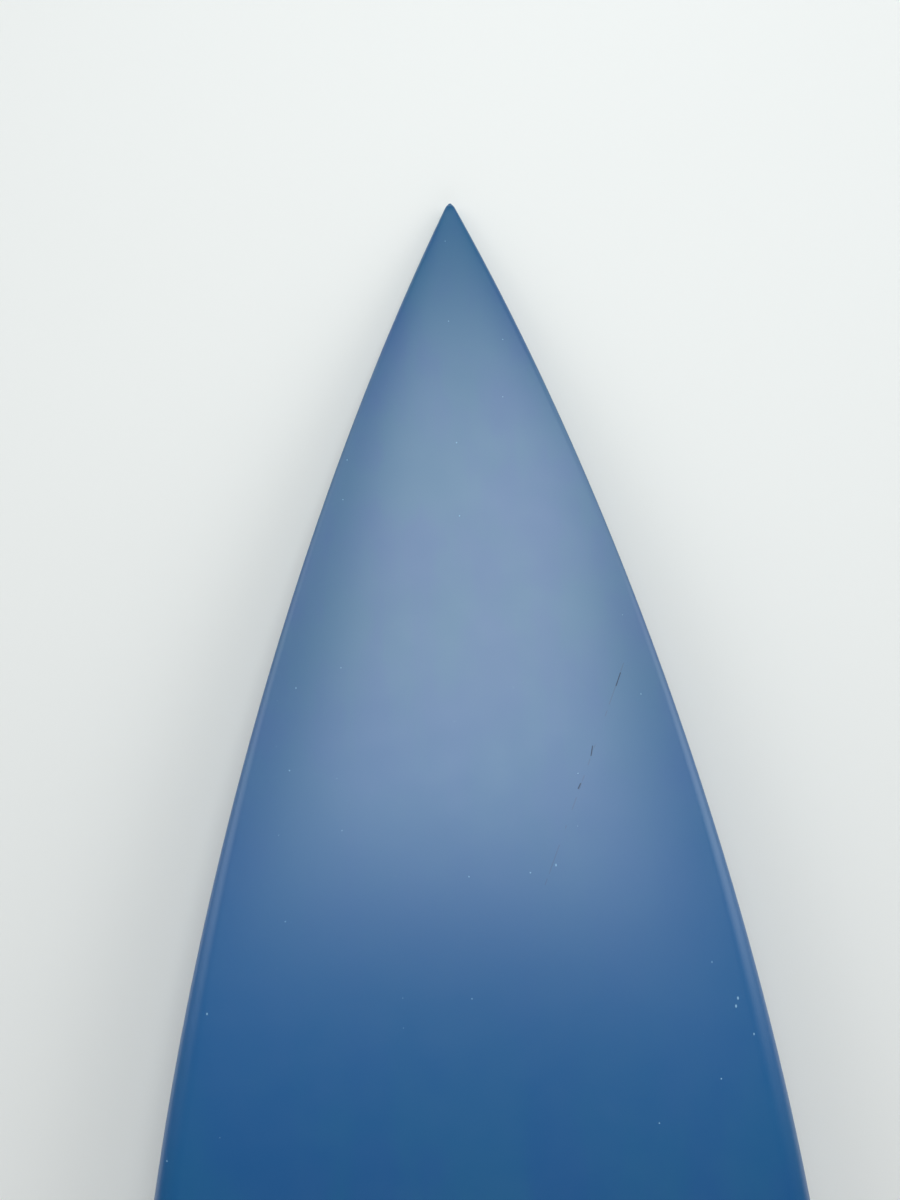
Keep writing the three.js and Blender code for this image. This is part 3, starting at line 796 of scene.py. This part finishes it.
BOTTOM_BLUE = board_material("board_blue_bottom", SCRATCHES, NICKS)
DECK_BLUE = board_material("board_blue_deck")
FOAM = plain_material("foam", srgb(238, 232, 216), srgb(247, 243, 232), 0.95, grain=1500.0)
WOOD = wood_material()
PLUG = plain_material("plug_plastic", srgb(206, 209, 211), srgb(219, 221, 222), 0.45)
FIN = plain_material("fin_composite", srgb(24, 26, 29), srgb(34, 36, 40), 0.36, grain=900.0)
STEEL = plain_material("steel", srgb(186, 188, 190), srgb(204, 205, 206), 0.28, 1.0, 2500.0)

# ---- Pieces ----


def ring_cutter(matrix, y, radius, low, high):
    cutter = lathe("cutter", [(0, low), (radius, low), (radius, high), (0, high)], ROUND_SIDES)
    cutter.data.transform(matrix @ Matrix.Translation((0, y, 0)))
    return cutter


def make_skins():
    bottom = surface_grid(bottom_half, False)
    deck = surface_grid(deck_half, True)
    points, normals = surface_normals([bottom, deck])
    turn = np.array(TO_ROW.to_3x3())
    row_points = points @ turn.T + np.array(TO_ROW.translation)
    row_normals = normals @ turn.T
    count = bottom.shape[0] * bottom.shape[1]
    plug_holes = [
        ring_cutter(matrix, y, PLUG_RADIUS + PLUG_SEAM, -PLUG_DEPTH, PLUG_DEPTH / 2)
        for matrix in FIN_SETS.values()
        for y in TAB_Y.values()
    ]
    under = skin("bottom_skin", bottom, normals[:count].reshape(bottom.shape), False, TO_ROW)
    combine(under, plug_holes, "DIFFERENCE")
    follow_surface(under, row_points, row_normals)
    finished(under, "bottom_laminate", "board", BOTTOM_BLUE)
    over = skin("deck_skin", deck, normals[count:].reshape(deck.shape), True, TO_ROW)
    combine(over, [ring_cutter(LEASH, 0, CUP_RADIUS + PLUG_SEAM, -CUP_DEPTH, CUP_DEPTH)], "DIFFERENCE")
    follow_surface(over, row_points, row_normals)
    finished(over, "deck_laminate", "board", DECK_BLUE)


def on_screw_axis(name, y):
    """The frame of a screw: its point at the origin and its head towards -Z."""
    side = clamp_side(name)
    point = Matrix.Translation((side * SCREW_AT[0], y, SCREW_AT[1]))
    return point @ Matrix.Rotation(-side * SCREW_TILT, 4, "Y")


def make_plug(name, place):
    matrix, y = FIN_SETS[name], TAB_Y[place]
    radius, chamfer = PLUG_RADIUS, PLUG_CHAMFER
    profile = [(0, PLUG_DEPTH), (radius - chamfer, PLUG_DEPTH), (radius, PLUG_DEPTH - chamfer)]
    profile += [(radius, chamfer), (radius - chamfer, 0), (0, 0)]
    plug = lathe(f"{name}_{place}_plug_body", profile, ROUND_SIDES)
    for vertex in plug.data.vertices:
        vertex.co.y += y
        if vertex.co.z < PLUG_DEPTH / 2:
            vertex.co.z += surface_drop(matrix, vertex.co.x, vertex.co.y)
    slot = box_object("slot", (SLOT[0], SLOT[1], 2 * SLOT[2]), (0, y, 0))
    low, high = -2 * SCREW_LENGTH, SCREW_HOLE_PAST_POINT
    profile = [(0, low), (SCREW_HOLE_RADIUS, low), (SCREW_HOLE_RADIUS, high), (0, high)]
    hole = lathe("hole", profile, HOLE_SIDES)
    hole.data.transform(on_screw_axis(name, y))
    combine(plug, [slot, hole], "DIFFERENCE")
    plug.data.transform(matrix)
    smooth(plug, 40)
    finished(plug, f"{name}_{place}_plug", "board", PLUG)


def hexagon_radius(angle):
    turn = (angle + math.pi / 6) % (math.pi / 3) - math.pi / 6
    return SCREW_HEX * math.cos(math.pi / 6) / math.cos(turn)


def make_screw(name, place):
    """A cone-point grub screw with a hexagon socket, its thread cut as rings."""
    head = -SCREW_LENGTH
    cone = (SCREW_RADIUS - SCREW_POINT) / math.tan(SCREW_TILT)
    root = SCREW_RADIUS - THREAD_DEPTH
    profile = [(SCREW_POINT, 0), (SCREW_RADIUS - CONE_EDGE_ROUND, -cone)]
    z = -cone - THREAD_FROM_CONE
    while z - THREAD_PITCH > head + THREAD_DEPTH:
        middle = z - THREAD_PITCH / 2
        profile += [(SCREW_RADIUS, z), (SCREW_RADIUS, z - THREAD_FLAT)]
        profile += [(root, middle), (root, middle - THREAD_FLAT)]
        z -= THREAD_PITCH
    profile += [(SCREW_RADIUS, head + THREAD_DEPTH), (root, head)]
    angles = [2 * math.pi * i / SCREW_SIDES for i in range(SCREW_SIDES)]
    rings = [[(r * math.cos(a), r * math.sin(a), z) for a in angles] for r, z in profile]
    wide, chamfer = SOCKET_CHAMFER
    narrow, deepest = SOCKET_POINT
    for grow, depth in ((wide, 0), (1.0, chamfer), (1.0, SCREW_SOCKET), (narrow, deepest)):
        ring = [(grow * hexagon_radius(a), a) for a in angles]
        rings.append([(r * math.cos(a), r * math.sin(a), head + depth) for r, a in ring])
    points = [p for ring in rings for p in ring]
    faces = band_faces(len(rings), SCREW_SIDES)
    faces.append(tuple(range(SCREW_SIDES))[::-1])
    faces.append(tuple(range(len(points) - SCREW_SIDES, len(points))))
    screw = outward(mesh_object(f"{name}_{place}_grub_screw", points, faces))
    screw.data.transform(FIN_SETS[name] @ on_screw_axis(name, TAB_Y[place]))
    smooth(screw, 30)
    finished(screw, f"{name}_{place}_screw", f"{name}_{place}_screw", STEEL)


def foil(c):
    """A four-digit foil's thickness at a share of the chord from its front, 1 at its thickest."""
    return 10 * (0.2969 * np.sqrt(c) - 0.126 * c - 0.3516 * c**2 + 0.2843 * c**3 - 0.1015 * c**4)


LEADING_EDGE = ((FIN_BASE / 2, 0), (0.034, -0.046), (-0.006, -0.106), (-0.072, -FIN_DEPTH))
TRAILING_EDGE = ((-FIN_BASE / 2, 0), (-0.046, -0.026), (-0.046, -0.080), (-0.076, 0.002 - FIN_DEPTH))
FIN_RINGS = 44
FIN_STEPS = 30


def make_fin(name):
    matrix = FIN_SETS[name]
    side = {"right": 1, "left": -1, "centre": 0}[name]
    chord = (1 - np.cos(np.pi * np.arange(FIN_STEPS + 1) / FIN_STEPS)) / 2
    points = []
    for k in range(FIN_RINGS + 1):
        t = math.sin(k / FIN_RINGS * math.pi / 2)
        front, back = bezier(LEADING_EDGE, t), bezier(TRAILING_EDGE, t)
        along = front + (back - front) * chord[:, None]
        most = mix(FIN_ROOT_THICKNESS, FIN_TIP_THICKNESS, t)
        full = FIN_EDGE + (most - FIN_EDGE) * foil(chord)
        if t > FIN_TIP_FROM:
            full *= 1 - FIN_TIP_THINNING
        inside = -full / 2 if side == 0 else np.full_like(full, -TAB[0] / 2)
        facing = side or 1
        outer = np.stack([facing * (inside + full), along[:, 0], along[:, 1]], axis=-1)
        inner = np.stack([facing * inside, along[:, 0], along[:, 1]], axis=-1)
        points.append(np.vstack([outer, inner[::-1]]))
    for p in points[0]:
        p[2] = surface_drop(matrix, p[0], p[1]) - FIN_CLEARANCE
    count = 2 * (FIN_STEPS + 1)
    faces = band_faces(FIN_RINGS + 1, count)
    for k in (0, FIN_RINGS):
        for i in range(FIN_STEPS):
            a, b = k * count + i, k * count + count - 1 - i
            faces.append((a, a + 1, b - 1, b))
    fin = outward(mesh_object(f"{name}_fin_blade", np.vstack(points), faces))
    height = TAB[2] + TAB_SHOULDER
    tabs = []
    for y in TAB_Y.values():
        tab = box_object("tab", (TAB[0], TAB[1], height), (0, y, TAB[2] - height / 2))
        tabs.append(bevel(tab, TAB_ROUND))
    combine(fin, tabs, "UNION")
    fin.data.transform(matrix)
    smooth(fin, 40)
    finished(fin, f"{name}_fin", f"{name}_fin", FIN)


def make_leash_cup():
    low, floor = -CUP_DEPTH, CUP_FLOOR - CUP_DEPTH
    profile = [(0, low), (CUP_RADIUS - CUP_ROUND, low), (CUP_RADIUS, low + CUP_ROUND)]
    profile += arc((CUP_RADIUS - CUP_ROUND, CUP_PROUD - CUP_ROUND), CUP_ROUND, 0, 90, 5)
    profile += arc((CUP_INNER + CUP_LIP_ROUND, CUP_PROUD - CUP_LIP_ROUND), CUP_LIP_ROUND, 90, 180, 4)
    profile += arc((CUP_INNER - CUP_FLOOR_ROUND, floor + CUP_FLOOR_ROUND), CUP_FLOOR_ROUND, 0, -90, 8)
    profile.append((0, floor))
    cup = lathe("leash_cup_body", profile, ROUND_SIDES)
    bore, past_cup = PIN_RADIUS + PIN_CLEARANCE, 0.03
    profile = [(0, -past_cup), (bore, -past_cup), (bore, past_cup), (0, past_cup)]
    hole = lathe("hole", profile, HOLE_SIDES)
    level = Matrix.Translation((0, 0, CUP_PROUD - PIN_BELOW_RIM))
    across = level @ Matrix.Rotation(math.pi / 2, 4, "Y")
    hole.data.transform(across)
    combine(cup, [hole], "DIFFERENCE")
    cup.data.transform(LEASH)
    smooth(cup, 40)
    finished(cup, "leash_cup", "board", PLUG)
    ends = [(0, -PIN_HALF), (PIN_RADIUS - PIN_CHAMFER, -PIN_HALF)]
    ends.append((PIN_RADIUS, PIN_CHAMFER - PIN_HALF))
    pin = lathe("leash_cup_pin", ends + [(r, -z) for r, z in reversed(ends)], HOLE_SIDES)
    pin.data.transform(LEASH @ across)
    smooth(pin, 40)
    finished(pin, "leash_pin", "board", STEEL)


def dress_inside():
    """The foam and the stringer keep their CAD solids: the skins hide them."""
    for node, material in (("foam_core_left", FOAM), ("foam_core_right", FOAM), ("stringer", WOOD)):
        obj = frame["nodes"][node]
        obj.data.materials.clear()
        obj.data.materials.append(material)


make_skins()
for set_name in FIN_SETS:
    make_fin(set_name)
    for plug_place in TAB_Y:
        make_plug(set_name, plug_place)
        make_screw(set_name, plug_place)
make_leash_cup()
dress_inside()

# ---- Floor, light and camera ----

NOSE_TIP = Vector((0, CAD_BOX[1][1], 0))
FLOOR_HALF = 9
FLOOR_DROP = 0.0005
IN_VIEW_FROM_TIP = Vector((0, -0.30, 0))
OVERHEAD_FROM_MIDDLE = Vector((0.12, 0.61, 1.9))
WORLD_COLOUR = (0.92, 0.96, 1.0, 1)
WORLD_STRENGTH = 0.035
CAMERA_FROM_TIP = Vector((-0.0091, -0.3665, 0.7352))
CAMERA_LENS = 27.6
CAMERA_TILT = 0.06
CAMERA_ROLL = 0.0286


def make_floor():
    n = Nodes("floor_pale")
    pale = n.blend(n.noise(1.2, 2.0), srgb(250, 241, 234), srgb(252, 244, 238))
    n.set(Base_Color=pale, Roughness=0.9)
    corners = [(x * FLOOR_HALF, y * FLOOR_HALF, 0) for x, y in ((-1, -1), (1, -1), (1, 1), (-1, 1))]
    floor = mesh_object("floor", corners, [(0, 1, 2, 3)])
    floor.location.z = -FLOOR_DROP
    floor.data.materials.append(n.material)


def soft_light(name, at, target, size, watts, colour):
    lamp = bpy.data.lights.new(name, "AREA")
    lamp.shape = "RECTANGLE"
    lamp.size, lamp.size_y = size
    lamp.energy = watts
    lamp.color = colour
    obj = bpy.data.objects.new(name, lamp)
    obj.location = at
    obj.rotation_mode = "QUATERNION"
    obj.rotation_quaternion = (Vector(target) - Vector(at)).to_track_quat("-Z", "Y")
    bpy.context.scene.collection.objects.link(obj)


def make_lights():
    middle = NOSE_TIP + IN_VIEW_FROM_TIP
    overhead = middle + OVERHEAD_FROM_MIDDLE
    soft_light("overhead", overhead, middle, (1.35, 2.1), 29, (0.83, 0.95, 1.0))
    soft_light("low_behind_tail", (0.3, -3.0, 1.3), (0, -0.8, 0), (2.8, 1.4), 34, (0.92, 0.97, 1.0))
    soft_light("side_left", (-3.4, 2.2, 2.4), (0, 0.2, 0), (4.5, 3.6), 78, (0.86, 0.95, 1.0))
    soft_light("side_right", (3.8, 2.0, 2.2), (0, 0.2, 0), (4.5, 3.6), 96, (0.86, 0.95, 1.0))
    world = bpy.data.worlds.new("studio")
    world.use_nodes = True
    background = world.node_tree.nodes["Background"]
    background.inputs["Color"].default_value = WORLD_COLOUR
    background.inputs["Strength"].default_value = WORLD_STRENGTH
    bpy.context.scene.world = world
    bpy.context.scene.view_settings.view_transform = "Standard"


def make_camera():
    """Looking down on the nose, a little towards the tip, with the board slightly turned in the frame."""
    camera = bpy.data.cameras.new("camera")
    camera.sensor_width = 36
    camera.lens = CAMERA_LENS
    obj = bpy.data.objects.new("camera", camera)
    bpy.context.scene.collection.objects.link(obj)
    right = Vector((1, 0, 0))
    up = Vector((0, math.cos(CAMERA_TILT), math.sin(CAMERA_TILT)))
    back = Vector((0, -math.sin(CAMERA_TILT), math.cos(CAMERA_TILT)))
    turned_right = right * math.cos(CAMERA_ROLL) - up * math.sin(CAMERA_ROLL)
    turned_up = right * math.sin(CAMERA_ROLL) + up * math.cos(CAMERA_ROLL)
    obj.matrix_world = placed(turned_right, turned_up, back, NOSE_TIP + CAMERA_FROM_TIP)
    bpy.context.scene.camera = obj


make_floor()
make_lights()
make_camera()
